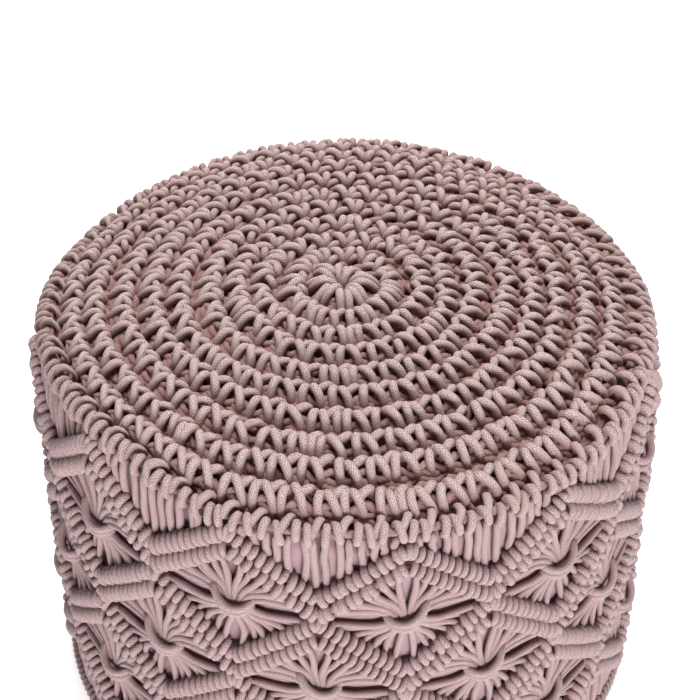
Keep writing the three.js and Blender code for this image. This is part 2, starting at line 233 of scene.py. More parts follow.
@dataclass(frozen=True)
class Form:
    """The main sizes of the stool and the surfaces that the pieces follow.

    Attributes:
        rim_height: Height of the rim above the floor.
        rim_radius: Radius of the rim.
        crown_rise: Rise of the top's middle above the rim.
        crown_power: How flat the middle of the crown is.
        repeats: Number of diamonds around the side.
        first_apex: Angle of one apex of the first zigzag.
        slip_left: How far the top's middle has slipped to the left.
        slip_front: How far it has slipped to the front.
        slip_spread: How much further its front has slipped than its middle.
    """

    rim_height: float = 294.0
    rim_radius: float = 200.0
    crown_rise: float = 20.0
    crown_power: float = 4.83
    repeats: int = 12
    first_apex: float = 10.0
    slip_left: float = 3.5
    slip_front: float = 5.0
    slip_spread: float = 3.0

    # Columns: angle, rise of the uneven rim there, way that it is drawn in
    RIM = (
        (-180.0, -2.5, 2.5),
        (-150.0, -4.0, 3.5),
        (-125.0, -4.5, 6.0),
        (-112.0, -3.0, 7.0),
        (-100.0, 2.5, 7.5),
        (-90.0, 7.5, 7.5),
        (-78.0, 12.0, 6.5),
        (-66.0, 13.0, 6.5),
        (-55.0, 12.0, 6.5),
        (-45.0, 11.0, 6.0),
        (-36.0, 6.5, 4.0),
        (-28.0, -1.0, 1.0),
        (-20.0, -5.0, -0.5),
        (-10.0, -6.5, -1.0),
        (10.0, -7.5, -1.0),
        (26.0, -7.5, -1.0),
        (34.0, -4.5, 0.0),
        (42.0, -5.0, 0.0),
        (50.0, -2.0, 0.5),
        (60.0, 4.5, 2.5),
        (68.0, 6.5, 5.0),
        (80.0, 4.0, 7.5),
        (95.0, 0.0, 8.0),
        (110.0, -3.5, 7.5),
        (125.0, -4.5, 6.0),
        (150.0, -4.0, 3.5),
        (180.0, -2.5, 2.5),
    )

    # Powers by which the rim's unevenness fades towards the axis and down the side
    FADE_IN = 5
    RISE_FADE = 1.3
    DRAWN_FADE = 20

    # Where the top may slip: from a depth below the rim, less from a radius that the rim holds
    SLIP_DEPTH = 28.0
    SLIP_BAND = 16.0
    HELD_RADIUS = 186.0
    HELD_BAND = 14.0
    HELD_SHARE = 0.85

    # Light in the grooves: where full light ends, and what is lost with each millimetre below it
    CREST_RISE = 2.0
    KNOT_RADIUS = 209.0
    SIDE_DEPTH = 0.43
    LIT_DEPTH = 0.3
    DEPTH_LOSS = 0.108
    LEAST_LIGHT = 0.2

    @property
    def arm(self) -> float:
        """Angle that one arm of a zigzag spans."""
        return 180.0 / self.repeats

    def top(self, radius: np.ndarray) -> np.ndarray:
        """Height of the crowned top at each radius."""
        share = np.clip(np.asarray(radius) / self.rim_radius, 0.0, 1.0)
        return self.rim_height + self.crown_rise * (1.0 - share**self.crown_power)

    def settle(self, points: np.ndarray) -> np.ndarray:
        """Moves points of the even stool to where its uneven rim and slipped top bring them.

        Args:
            points: Points in millimetres.

        Returns:
            The moved points.
        """
        angle = np.degrees(np.arctan2(points[:, 0], -points[:, 1]))
        at, rise, inward = columns(self.RIM)
        radius = np.hypot(points[:, 0], points[:, 1])
        outer = np.clip(radius / self.rim_radius, 0.0, 1.0) ** self.FADE_IN
        upper = np.clip(points[:, 2] / self.rim_height, 0.0, 1.0)
        drawn = np.interp(angle, at, inward, period=360.0) * outer * upper**self.DRAWN_FADE
        raised = np.interp(angle, at, rise, period=360.0) * outer * upper**self.RISE_FADE
        moved = points * (1.0 - drawn / np.maximum(radius, 1.0))[:, None]
        moved[:, 2] = points[:, 2] + raised
        on_top = np.clip((points[:, 2] - self.rim_height + self.SLIP_DEPTH) / self.SLIP_BAND, 0.0, 1.0)
        held = np.clip((radius - self.HELD_RADIUS) / self.HELD_BAND, 0.0, 1.0)
        loose = on_top * (1.0 - self.HELD_SHARE * held)
        moved[:, 0] -= self.slip_left * loose
        moved[:, 1] -= (self.slip_front - self.slip_spread * points[:, 1] / self.rim_radius) * loose
        return moved

    def openness(self, points: np.ndarray) -> np.ndarray:
        """How open to the light each point is.

        Args:
            points: Points in millimetres.

        Returns:
            One at the outside of the knots, and less in the grooves.
        """
        radius = np.hypot(points[:, 0], points[:, 1])
        below = self.top(radius) + self.CREST_RISE - points[:, 2]
        inside = self.SIDE_DEPTH * (self.KNOT_RADIUS - radius)
        depth = np.maximum(np.minimum(below, inside) - self.LIT_DEPTH, 0.0)
        return np.clip(1.0 - self.DEPTH_LOSS * depth, self.LEAST_LIGHT, 1.0)


@dataclass
class Cords:
    """Round cords swept along paths and gathered into one mesh.

    Attributes:
        name: Name of the piece.
        yarn: The cord that it is made of.
        sides: Number of flats around a cord.
        light: Share of the light that reaches the cords.
        flank: Share of the light that the cords' flanks miss.
        count: Number of points so far.
        points: Points of the cords.
        normals: Directions away from a cord's middle at each point.
        facing: How far each point faces the light.
        inner: Points inside the cords.
        sleeves: Faces along the cords.
        caps: Faces that close their ends.
        sleeve_maps: Map places of the corners of the sleeves.
        cap_maps: Map places of the corners of the caps.
    """

    name: str
    yarn: Yarn = Yarn.SIDE
    sides: int = 8
    light: float = 1.0
    flank: float = 0.44
    count: int = 0
    points: list[np.ndarray] = field(default_factory=list)
    normals: list[np.ndarray] = field(default_factory=list)
    facing: list[np.ndarray] = field(default_factory=list)
    inner: list[np.ndarray] = field(default_factory=list)
    sleeves: list[np.ndarray] = field(default_factory=list)
    caps: list[np.ndarray] = field(default_factory=list)
    sleeve_maps: list[np.ndarray] = field(default_factory=list)
    cap_maps: list[np.ndarray] = field(default_factory=list)

    # A wrap's light: how sharply it falls off towards the bar, and how far it starts below full light
    WRAP_CONTRAST = 1.9
    WRAP_LOSS = 0.7

    # Light on a cord's crest and the least light on its flanks
    CREST_LIGHT = 1.1
    LEAST_LIGHT = 0.22

    # Share of the radius where the points inside a cord lie
    INNER_SHARE = 0.65

    # Shift of the map from one cord to the next, so that no two look alike
    MAP_SHIFT = 37.0

    def add(
        self,
        paths: np.ndarray,
        radius: float,
        closed: bool = False,
        taper: float = 0.55,
        swell: float = 0.0,
        away: np.ndarray | None = None,
    ) -> None:
        """Sweeps one cord along each path.

        Args:
            paths: Points of the paths, with a shape of (paths, points, 3).
            radius: Radius of the cord.
            closed: Whether each path is a ring whose last point meets its first.
            taper: Share of the radius at the ends of an open cord.
            swell: Share by which the cord is fuller before its middle.
            away: Directions in which a wrap is open to the light, if not away from the stool.
        """
        lit = outward(paths) if away is None else self.WRAP_CONTRAST * unit(away)
        loss = 0.0 if away is None else self.WRAP_LOSS
        many, length, _ = paths.shape
        size = radius * (1.0 + swell * np.sin(math.pi * np.linspace(0.0, 1.0, length) ** 0.8))
        if not closed:
            size[[0, -1]] *= taper
            size[[1, -2]] *= 0.5 + 0.5 * max(taper, 0.75)
        ring = self.rings(paths, closed)
        middle = paths[:, :, None]
        self.points.append((middle + ring * size[None, :, None, None]).reshape(-1, 3))
        self.normals.append(ring.reshape(-1, 3))
        self.facing.append((ring * lit[:, :, None]).sum(-1).ravel() - loss)
        filled = np.concatenate([middle, middle + self.INNER_SHARE * radius * ring], axis=2)
        halfway = 0.5 * (filled[:, 1:] + filled[:, :-1])
        self.inner += [filled.reshape(-1, 3), halfway.reshape(-1, 3)]
        number = self.count + np.arange(many * length * self.sides).reshape(many, length, self.sides)
        self.count += many * length * self.sides
        if closed:
            number = np.concatenate([number, number[:, :1]], axis=1)
            paths = np.concatenate([paths, paths[:, :1]], axis=1)
        else:
            around = np.arange(self.sides) / self.sides
            self.caps.append(ends(number))
            self.cap_maps.append(np.tile(np.stack([around, 0.0 * around], -1), (2 * many, 1)))
        self.sleeves.append(sleeve(number))
        self.sleeve_maps.append(self.sleeve_map(paths))

    def rings(self, paths: np.ndarray, closed: bool) -> np.ndarray:
        """Directions from the middle of a cord to the points around it.

        Args:
            paths: Points of the paths.
            closed: Whether each path is a ring.

        Returns:
            Directions, with a shape of (paths, points, sides, 3).
        """
        if closed:
            wide = np.concatenate([paths[:, -1:], paths, paths[:, :1]], axis=1)
            along = unit(wide[:, 2:] - wide[:, :-2])
        else:
            along = unit(np.gradient(paths, axis=1))
        across = outward(paths[:, 0])
        normals = np.empty_like(paths)
        for i in range(paths.shape[1]):
            across = unit(across - (across * along[:, i]).sum(-1, keepdims=True) * along[:, i])
            normals[:, i] = across
        sideways = np.cross(along, normals)
        turn = np.arange(self.sides) * FULL_TURN / self.sides
        return normals[:, :, None] * np.cos(turn)[:, None] + sideways[:, :, None] * np.sin(turn)[:, None]

    def sleeve_map(self, paths: np.ndarray) -> np.ndarray:
        """Map places of the faces along the cords.

        Args:
            paths: Points of the paths, with the first one again at the end of a ring.

        Returns:
            The share of the way around and the millimetres along, for each corner of each face.
        """
        many = len(paths)
        steps = np.linalg.norm(np.diff(paths, axis=1), axis=-1)
        run = np.concatenate([np.zeros((many, 1)), np.cumsum(steps, axis=1)], axis=1)
        run = run + self.MAP_SHIFT * np.arange(many)[:, None]
        shape = (many, steps.shape[1], self.sides)
        left = np.broadcast_to(np.arange(self.sides) / self.sides, shape)
        right = np.broadcast_to(np.arange(1, self.sides + 1) / self.sides, shape)
        low = np.broadcast_to(run[:, :-1, None], shape)
        high = np.broadcast_to(run[:, 1:, None], shape)
        around = np.stack([left, right, right, left], axis=-1)
        along = np.stack([low, low, high, high], axis=-1)
        return np.stack([around, along], axis=-1).reshape(-1, 2)

    def build(self, form: Form, air: "Air") -> bpy.types.Object:
        """Makes the mesh object of all the cords.

        Args:
            form: The stool's shape.
            air: The open air around all the cords.

        Returns:
            The new object, linked to the scene.
        """
        points = np.concatenate(self.points)
        faces = [np.concatenate(self.sleeves), np.concatenate(self.caps)]
        # Painted shade for the Shade attribute: the set's own share of light, less light deep below the
        # crest, on flanks turned from the light and beside other cords.
        flanks = self.flank * (1.0 - np.concatenate(self.facing))
        turned = np.clip(self.CREST_LIGHT - flanks, self.LEAST_LIGHT, 1.0)
        clear = air.share(points, np.concatenate(self.normals))
        shade = self.light * form.openness(points) * turned * clear
        corners = np.concatenate(self.sleeve_maps + self.cap_maps)
        return mesh_object(self.name, form.settle(points) * MM, faces, shade, corners)


class Air:
    """The open air between all the cords, on a grid, for painting shade where cords lie close together.
    """

    CELL = 1.4
    MARGIN = 12.0

    # Columns: distance in front of a cord, light that a cord there takes away
    PROBES = ((1.9, 0.75), (4.2, 0.35))
    MOST_LIGHT = 1.18
    LEAST_LIGHT = 0.2

    def __init__(self, sets: list[Cords]) -> None:
        """Fills the grid's cells that lie inside cords.

        Args:
            sets: All the sets of cords.
        """
        points = np.concatenate([part for cords in sets for part in cords.inner])
        self.low = points.min(axis=0) - self.MARGIN
        shape = np.ceil((points.max(axis=0) + self.MARGIN - self.low) / self.CELL).astype(int)
        grid = np.zeros(shape, dtype=np.float32)
        grid[tuple(((points - self.low) / self.CELL).astype(int).T)] = 1.0
        for axis in (0, 1, 2):
            grid = (np.roll(grid, 1, axis) + grid + np.roll(grid, -1, axis)) / 3.0
        self.grid = grid

    def filled(self, points: np.ndarray) -> np.ndarray:
        """Share of cord around each point.

        Args:
            points: Points in millimetres.

        Returns:
            The shares, from 0 to 1.
        """
        at = (points - self.low) / self.CELL - 0.5
        base = np.floor(at).astype(int)
        part = at - base
        total = np.zeros(len(points))
        for corner in np.ndindex(2, 2, 2):
            weight = np.prod(np.where(np.array(corner) == 1, part, 1.0 - part), axis=1)
            total += weight * self.grid[tuple((base + np.array(corner)).T)]
        return total

    def share(self, points: np.ndarray, normals: np.ndarray) -> np.ndarray:
        """Share of open air in front of each point.

        Args:
            points: Points on the cords.
            normals: Directions away from the cords.

        Returns:
            One where nothing is near, and less beside other cords.
        """
        light = np.full(len(points), self.MOST_LIGHT)
        for distance, loss in self.PROBES:
            light -= loss * self.filled(points + distance * normals)
        return np.clip(light, self.LEAST_LIGHT, 1.0)


# Shader nodes


class Sock:
    """A shader socket that takes part in Python expressions."""

    def __init__(self, tree: "Nodes", socket: bpy.types.NodeSocket) -> None:
        """Wraps an output socket of a tree."""
        self.tree = tree
        self.socket = socket

    def __add__(self, other: "Sock | float") -> "Sock":
        """The sum of two values."""
        return self.tree.math("ADD", self, other)

    def __radd__(self, other: float) -> "Sock":
        """The sum of a number and this value."""
        return self.tree.math("ADD", other, self)

    def __sub__(self, other: "Sock | float") -> "Sock":
        """This value less another."""
        return self.tree.math("SUBTRACT", self, other)

    def __rsub__(self, other: float) -> "Sock":
        """A number less this value."""
        return self.tree.math("SUBTRACT", other, self)

    def __mul__(self, other: "Sock | float") -> "Sock":
        """The product of two values."""
        return self.tree.math("MULTIPLY", self, other)

    def __rmul__(self, other: float) -> "Sock":
        """A number times this value."""
        return self.tree.math("MULTIPLY", other, self)

    def sine(self) -> "Sock":
        """The sine of this value."""
        return self.tree.math("SINE", self, 0.0)

    def wave(self) -> "Sock":
        """The sine of this value, moved to run from 0 to 1."""
        return 0.5 + 0.5 * self.sine()

    def beside(self, output: int) -> "Sock":
        """Another output of the same node."""
        return Sock(self.tree, self.socket.node.outputs[output])

    def smooth_step(self, low: float, high: float) -> "Sock":
        """Zero below low, one above high and smooth between.

        Args:
            low: Value where the step starts.
            high: Value where it ends.

        Returns:
            The stepped value.
        """
        settings = {"interpolation_type": "SMOOTHSTEP"}
        inputs = {"Value": self, "From Min": low, "From Max": high}
        return self.tree.value("ShaderNodeMapRange", settings, inputs, "Result")


class Nodes:
    """The node tree of one material."""

    def __init__(self, name: str) -> None:
        """Makes a material with an empty tree.

        Args:
            name: Name of the material.
        """
        self.material = bpy.data.materials.new(name)
        self.material.use_nodes = True
        self.tree = self.material.node_tree
        self.tree.nodes.clear()

    def add(
        self, kind: str, settings: dict[str, object], inputs: dict[str | int, object]
    ) -> bpy.types.Node:
        """Adds a node.

        Args:
            kind: Type name of the node.
            settings: Properties of the node, set first.
            inputs: Values or links of its sockets, by name or number.

        Returns:
            The new node.
        """
        node = self.tree.nodes.new(kind)
        for key, value in settings.items():
            setattr(node, key, value)
        for key, value in inputs.items():
            if isinstance(value, Sock):
                self.tree.links.new(value.socket, node.inputs[key])
            else:
                node.inputs[key].default_value = value
        return node

    def value(
        self,
        kind: str,
        settings: dict[str, object],
        inputs: dict[str | int, object],
        output: str | int = 0,
    ) -> Sock:
        """One output of a new node.

        Args:
            kind: Type name of the node.
            settings: Properties of the node.
            inputs: Values or links of its sockets.
            output: Name or number of the output.

        Returns:
            The output socket.
        """
        return Sock(self, self.add(kind, settings, inputs).outputs[output])

    def math(self, operation: str, first: Sock | float, second: Sock | float) -> Sock:
        """The result of a Math node on two values."""
        return self.value("ShaderNodeMath", {"operation": operation}, {0: first, 1: second})

    def mix(self, factor: Sock, first: Sock | Colour, second: Sock | Colour) -> Sock:
        """A mix of two colours, with a factor's share of the second one."""
        settings = {"data_type": "RGBA", "blend_type": "MIX"}
        return self.value("ShaderNodeMix", settings, {0: factor, 6: first, 7: second}, 2)

    def noise(self, spot: Sock, scale: float, detail: float) -> Sock:
        """Noise from 0 to 1.

        Args:
            spot: Coordinates of the noise.
            scale: Lumps in a unit of the coordinates.
            detail: Number of finer layers.

        Returns:
            The noise value.
        """
        inputs = {"Vector": spot, "Scale": scale, "Detail": detail, "Roughness": 0.6}
        return self.value("ShaderNodeTexNoise", {"noise_dimensions": "3D"}, inputs)

    def shade(self) -> Sock:
        """Share of the light that reaches a point, as its mesh holds it."""
        return self.value("ShaderNodeAttribute", {"attribute_name": SHADE}, {}, "Fac")

    def spot(self) -> Sock:
        """Place of a point in metres."""
        return self.value("ShaderNodeTexCoord", {}, {}, "Object")

    def surface(self, **inputs: object) -> bpy.types.Material:
        """Ends the tree with a plain surface.

        Args:
            **inputs: Values or links of the shader's sockets, with _ for a space in a name.

        Returns:
            The finished material.
        """
        named = {key.replace("_", " "): value for key, value in inputs.items()}
        shader = self.value("ShaderNodeBsdfPrincipled", {}, named)
        self.add("ShaderNodeOutputMaterial", {}, {"Surface": shader})
        return self.material

    def cotton(
        self, colour: Sock, relief: Sock, depth: float, sheen: float, roughness: float
    ) -> bpy.types.Material:
        """Ends the tree with a soft cotton surface.

        Args:
            colour: Colour over the surface.
            relief: Height of the fine relief, from 0 to 1.
            depth: Depth of the relief in metres.
            sheen: Weight of the fuzz on the threads.
            roughness: Roughness of the threads.

        Returns:
            The finished material.
        """
        bump = {"Strength": 1.0, "Distance": depth, "Height": relief}
        return self.surface(
            Base_Color=colour,
            Roughness=roughness,
            Specular_IOR_Level=0.2,
            Sheen_Weight=sheen,
            Sheen_Roughness=0.5,
            Normal=self.value("ShaderNodeBump", {}, bump),
        )


# Finishes


@dataclass(frozen=True)
class CordFinish:
    """Soft braided cotton cord.

    Attributes:
        yarn: Which cord it is.
        light: Colour of the raised threads.
        speck: Colour of the holes between the threads.
        dark: Colour of the painted shade deep in the grooves, on the flanks and beside other cords.
        girth: Way around the cord, in millimetres.
        plaits: Number of diamonds around the cord.
        lay: Length of one diamond along the cord, in millimetres.
        thread_scale: Loose threads in a millimetre.
        blotch_scale: Soft blotches in a metre.
        braid_share: How far the holes keep to the braid's diamonds.
        hole_band: Heights between which a hole turns into a thread.
        depth: Depth of the braid's relief in metres.
        sheen: Weight of the fuzz on the threads.
        roughness: Roughness of the threads.
    """

    yarn: Yarn = Yarn.TOP
    light: Colour = (0.508, 0.394, 0.383, 1.0)
    speck: Colour = (0.205, 0.132, 0.124, 1.0)
    dark: Colour = (0.20, 0.084, 0.077, 1.0)
    girth: float = 15.0
    plaits: int = 9
    lay: float = 1.9
    thread_scale: float = 1.8
    blotch_scale: float = 30.0
    braid_share: float = 0.18
    hole_band: tuple[float, float] = (0.4, 0.54)
    depth: float = 0.0005
    sheen: float = 0.12
    roughness: float = 0.92

    def material(self) -> bpy.types.Material:
        """Makes the cord's material.

        Returns:
            The material.
        """
        nodes = Nodes(self.yarn.value)
        cord_map = nodes.value("ShaderNodeUVMap", {"uv_map": CORD_MAP}, {})
        around = nodes.value("ShaderNodeSeparateXYZ", {}, {0: cord_map})
        along = around.beside(1)
        twist = (around * (FULL_TURN * self.plaits)).sine()
        run = (along * (FULL_TURN / self.lay)).sine()
        braid = 0.5 + 0.5 * (twist * run)
        flat = nodes.value("ShaderNodeCombineXYZ", {}, {0: around * self.girth, 1: along, 2: 0.0})
        threads = nodes.noise(flat, self.thread_scale, 2.0)
        blotch = nodes.noise(nodes.spot(), self.blotch_scale, 2.0)
        height = threads * (1.0 - self.braid_share) + braid * self.braid_share
        raised = height.smooth_step(*self.hole_band) * (0.9 + 0.2 * blotch)
        yarn = nodes.mix(raised, self.speck, self.light)
        # Painted shade: the yarn's colour is mixed towards dark brown where the Shade attribute says
        # little light reaches, in the grooves, on the flanks and beside other cords.
        groove = 1.0 - nodes.shade()
        colour = nodes.mix(groove, yarn, self.dark)
        relief = braid * 0.45 + threads * 0.55
        return nodes.cotton(colour, relief, self.depth, self.sheen, self.roughness)


@dataclass(frozen=True)
class ClothFinish:
    """Smooth cotton cloth of the cushion.

    Attributes:
        light: Colour of the cloth.
        dark: Colour of its faint shading.
        shade_beneath_top: Colour of the painted shade on the cloth beneath the top.
        pitch: Distance between threads in metres.
        radius: Radius of the cushion in metres.
        blotch_scale: Soft blotches in a metre.
        depth: Depth of the weave's relief in metres.
        sheen: Weight of the fuzz on the threads.
        roughness: Roughness of the threads.
    """

    light: Colour = (0.43, 0.294, 0.316, 1.0)
    dark: Colour = (0.37, 0.24, 0.262, 1.0)
    shade_beneath_top: Colour = (0.30, 0.145, 0.13, 1.0)
    pitch: float = 0.0008
    radius: float = 0.2
    blotch_scale: float = 45.0
    depth: float = 0.0002
    sheen: float = 0.2
    roughness: float = 0.85

    def material(self) -> bpy.types.Material:
        """Makes the cloth's material.

        Returns:
            The material.
        """
        nodes = Nodes("cushion_cloth")
        spot = nodes.spot()
        x = nodes.value("ShaderNodeSeparateXYZ", {}, {0: spot})
        y = x.beside(1)
        z = x.beside(2)
        threads = FULL_TURN / self.pitch
        weft = (z * threads).wave()
        warp = (nodes.math("ARCTAN2", x, y) * (threads * self.radius)).wave()
        blotch = nodes.noise(spot, self.blotch_scale, 3.0)
        shading = (blotch * 0.7 + weft * 0.2).smooth_step(0.2, 0.7)
        cloth = nodes.mix(shading, self.dark, self.light)
        # Painted shade: the cloth turns dark brown where the Shade attribute says the top hides it from
        # the light.
        shade_beneath_top_mask = 1.0 - nodes.shade()
        colour = nodes.mix(shade_beneath_top_mask, cloth, self.shade_beneath_top)
        relief = weft * 0.4 + warp * 0.4 + blotch * 0.2
        return nodes.cotton(colour, relief, self.depth, self.sheen, self.roughness)


@dataclass(frozen=True)
class FloorFinish:
    """Plain pale floor.

    Attributes:
        colour: Colour of the floor.
        glow: Strength of its even brightness.
        roughness: Roughness of the floor.
    """

    colour: Colour = (0.92, 0.92, 0.92, 1.0)
    glow: float = 0.6
    roughness: float = 0.8

    def material(self) -> bpy.types.Material:
        """Makes the floor's material.

        Returns:
            The material.
        """
        return Nodes("pale_floor").surface(
            Base_Color=self.colour,
            Roughness=self.roughness,
            Emission_Color=(1.0, 1.0, 1.0, 1.0),
            Emission_Strength=self.glow,
        )


# Sub-assemblies


def dress_piece(piece: bpy.types.Object, material: bpy.types.Material) -> None:
    """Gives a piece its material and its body.

    Args:
        piece: The piece.
        material: Its material.
    """
    piece.data.materials.append(material)
    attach(piece, BODY)


@dataclass
class CordWork:
    """A sub-assembly that is made of sets of cords.

    Attributes:
        form: The stool's shape.
        cord: Radius of the cord.
        seed: Seed of the unevenness.
        sets: One set of cords for each piece, once they are laid.
        pieces: The finished pieces, in the same order.
    """

    form: Form
    cord: float
    seed: int
    sets: list[Cords] = field(default_factory=list, init=False)
    pieces: list[bpy.types.Object] = field(default_factory=list, init=False)

    # The solid that the pieces stand for, and the name of their main piece
    NODE = ""
    MAIN_PIECE = ""

    def __post_init__(self) -> None:
        """Starts the source of unevenness."""
        self.chance = np.random.default_rng(self.seed)

    def uneven(self, spread: float, *shape: int) -> np.ndarray:
        """Random amounts around zero, with a usual size of spread."""
        return self.chance.normal(0.0, spread, shape)

    def build(self, air: Air) -> None:
        """Builds a mesh of each set of cords, shaded by the air around all of them."""
        self.pieces = [cords.build(self.form, air) for cords in self.sets]

    def dress(self, yarns: dict[Yarn, bpy.types.Material]) -> None:
        """Dresses the pieces and puts them in the place of their solid.

        Args:
            yarns: The material of each cord.
        """
        for cords, piece in zip(self.sets, self.pieces):
            dress_piece(piece, yarns[cords.yarn])
        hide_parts(self.NODE)


@dataclass(frozen=True)
class Round:
    """One round of crochet.

    Attributes:
        number: Number of the round from the middle.
        last: Whether it is the round at the rim.
        crest: Radius of its ridge.
        angle: Angle of each stitch, in degrees.
    """

    number: int
    last: bool
    crest: float
    angle: np.ndarray

    @property
    def first(self) -> bool:
        """Whether it is the round in the middle."""
        return self.number == 0

    @property
    def count(self) -> int:
        """Number of stitches."""
        return len(self.angle)

    @property
    def step(self) -> float:
        """Distance between stitches."""
        return FULL_TURN * self.crest / self.count

    @property
    def turn(self) -> np.ndarray:
        """Angle of each stitch, in radians."""
        return np.radians(self.angle)

    @property
    def wander(self) -> np.ndarray:
        """How far the ridge wanders outwards at each stitch."""
        wide = 1.1 * np.sin(2 * self.turn + 2.1 * self.number)
        return wide + 0.9 * np.sin(5 * self.turn + 1.3 * self.number)


@dataclass
class CrochetTop(CordWork):
    """Rounds of crochet: pairs of slanting legs, caps between them and the loops below.

    Attributes:
        first_crest: Radius of the first round's ridge.
        pitch: Distance between rounds.
        spread: How much further out the second and the third round lie.
        stitches: Stitches in each round.
        stagger: Share of a stitch by which each round is turned from the one inside it.
        common_step: Width of a stitch whose legs lean as far as they say.
        sink: How deep the stitches lie in the crown.
        legs: The slanting legs that show most.
        caps: The short cords from one stitch to the next.
        loops: The cords in the grooves.
    """

    cord: float = 2.75
    seed: int = 3
    first_crest: float = 12.5
    pitch: float = 18.75
    spread: float = 1.5
    stitches: tuple[int, ...] = (8, 13, 18, 24, 30, 36, 41, 47, 54, 61)
    stagger: float = 0.37
    common_step: float = 18.5
    sink: float = 1.2
    legs: Cords = field(default_factory=lambda: Cords("crochet_legs", Yarn.TOP, flank=0.66))
    caps: Cords = field(default_factory=lambda: Cords("crochet_caps", Yarn.TOP, light=0.92, flank=0.66))
    loops: Cords = field(default_factory=lambda: Cords("crochet_loops", Yarn.TOP, sides=6, light=0.69))

    NODE = "crochet_top"
    MAIN_PIECE = "crochet_legs"

    # Columns: way out from the ridge, height, share of the lean of a left leg and of a right leg,
    # bend of a left leg towards the right one, rise in the first round
    LEG = (
        (-5.4, -8.0, 0.0, -0.12, 3.4, -1.0),
        (-4.7, -1.8, 0.0, -0.06, 2.4, 0.0),
        (-2.3, 1.5, 0.08, 0.14, 0.9, 1.2),
        (0.9, 1.8, 0.34, 0.48, 0.1, 1.8),
        (4.1, -0.5, 0.66, 0.80, 0.0, 1.2),
        (6.8, -4.0, 0.90, 0.96, 0.0, 0.6),
        (8.0, -8.4, 1.0, 1.0, 0.0, 0.0),
    )

    # Shares of the usual way in and out that the first round's legs reach, and the last round's out
    FIRST_INWARD = 1.6
    FIRST_OUTWARD = 1.35
    LAST_OUTWARD = 1.1

    # How a right leg's lean grows at the left and shrinks at the front, and what little room leaves of it
    LEAN_AT_LEFT = 2.4
    LEAN_AT_FRONT = 1.7
    LEAN_IN_NARROW = 0.45

    # Way inside the ridge past which the first round's left legs are drawn back by as much
    DRAW_BACK = 4.0

    # Columns: way out from the ridge, height
    CAP = ((0.6, -5.6), (-0.4, -0.8), (-2.8, 1.7), (-5.0, 0.8), (-5.8, -5.0))

    # Columns: way out from the ridge, height, side to which it waves first,
    # rise away from the front, way in at the back, rise at the back
    LOOPS = (
        (1.6, -4.0, 1.0, 0.0, 0.0, 0.0),
        (6.6, -6.8, -1.0, 0.0, 0.0, 0.0),
        (11.0, -9.0, 1.0, 0.0, 0.0, 0.0),
        (-6.0, -5.4, 1.0, 0.0, 1.5, 1.2),
        (3.4, -5.6, -1.0, 0.0, 0.0, 0.0),
    )

    # The same columns for the loops that take the place of the second and the third at the rim
    RIM_LOOPS = (
        (6.0, -9.0, -1.0, 0.0, 0.0, 0.0),
        (10.6, -12.0, 1.0, 7.0, 0.0, 0.0),
        (14.5, -11.0, -1.0, 7.0, 0.0, 0.0),
    )

    # How far a loop waves in and out, and up and down
    LOOP_SWING = 2.2
    LOOP_RISE = 1.7

    # Columns: way out from the ridge, height, way to the right
    STEM = ((5.0, -8.2, -0.8), (8.0, -6.2, -0.3), (12.0, -6.4, 0.4), (14.5, -8.6, 0.8))

    # Places of the stems as shares of the way to the next stitch
    STEM_PLACES = (0.3, 0.78)

    def lay(self) -> None:
        """Lays the cords of all the rounds."""
        for number in range(len(self.stitches)):
            self.add_round(number)
        self.sets = [self.legs, self.caps, self.loops]

    def bend(self, ring: Round, angle: np.ndarray, shift: tuple[np.ndarray, ...]) -> np.ndarray:
        """Points on the top from distances beside a stitch.

        Args:
            ring: The round.
            angle: Angle of each stitch, in degrees.
            shift: Distances to the right, outwards from the ridge, and up from the top's surface.

        Returns:
            The points.
        """
        side, out, up = shift
        radius = np.maximum(ring.crest + out, 2.0)
        turned = angle[:, None] + np.degrees(side / np.maximum(radius, 9.0))
        return place(turned, radius, self.form.top(radius) + up - self.sink)

    def add_round(self, number: int) -> None:
        """Adds one round of stitches.

        Args:
            number: Number of the round from the middle.
        """
        count = self.stitches[number]
        crest = self.first_crest + self.pitch * number + (self.spread if number in (1, 2) else 0.0)
        drift = self.uneven(0.045, count)
        angle = (np.arange(count) + drift + self.stagger * number) * 360.0 / count
        ring = Round(number, number == len(self.stitches) - 1, crest, angle)
        wider = np.zeros(count, dtype=bool)
        if not ring.first:
            wider[(np.arange(3) * count // 3 + self.chance.integers(0, count)) % count] = True
        for leg in Leg:
            chosen = np.flatnonzero(wider) if leg is Leg.EXTRA else np.arange(count)
            self.add_legs(ring, leg, chosen, np.roll(wider, -1)[chosen])
        self.add_loops(ring)
        if not ring.first:
            self.add_caps(ring)
            self.add_stems(ring)

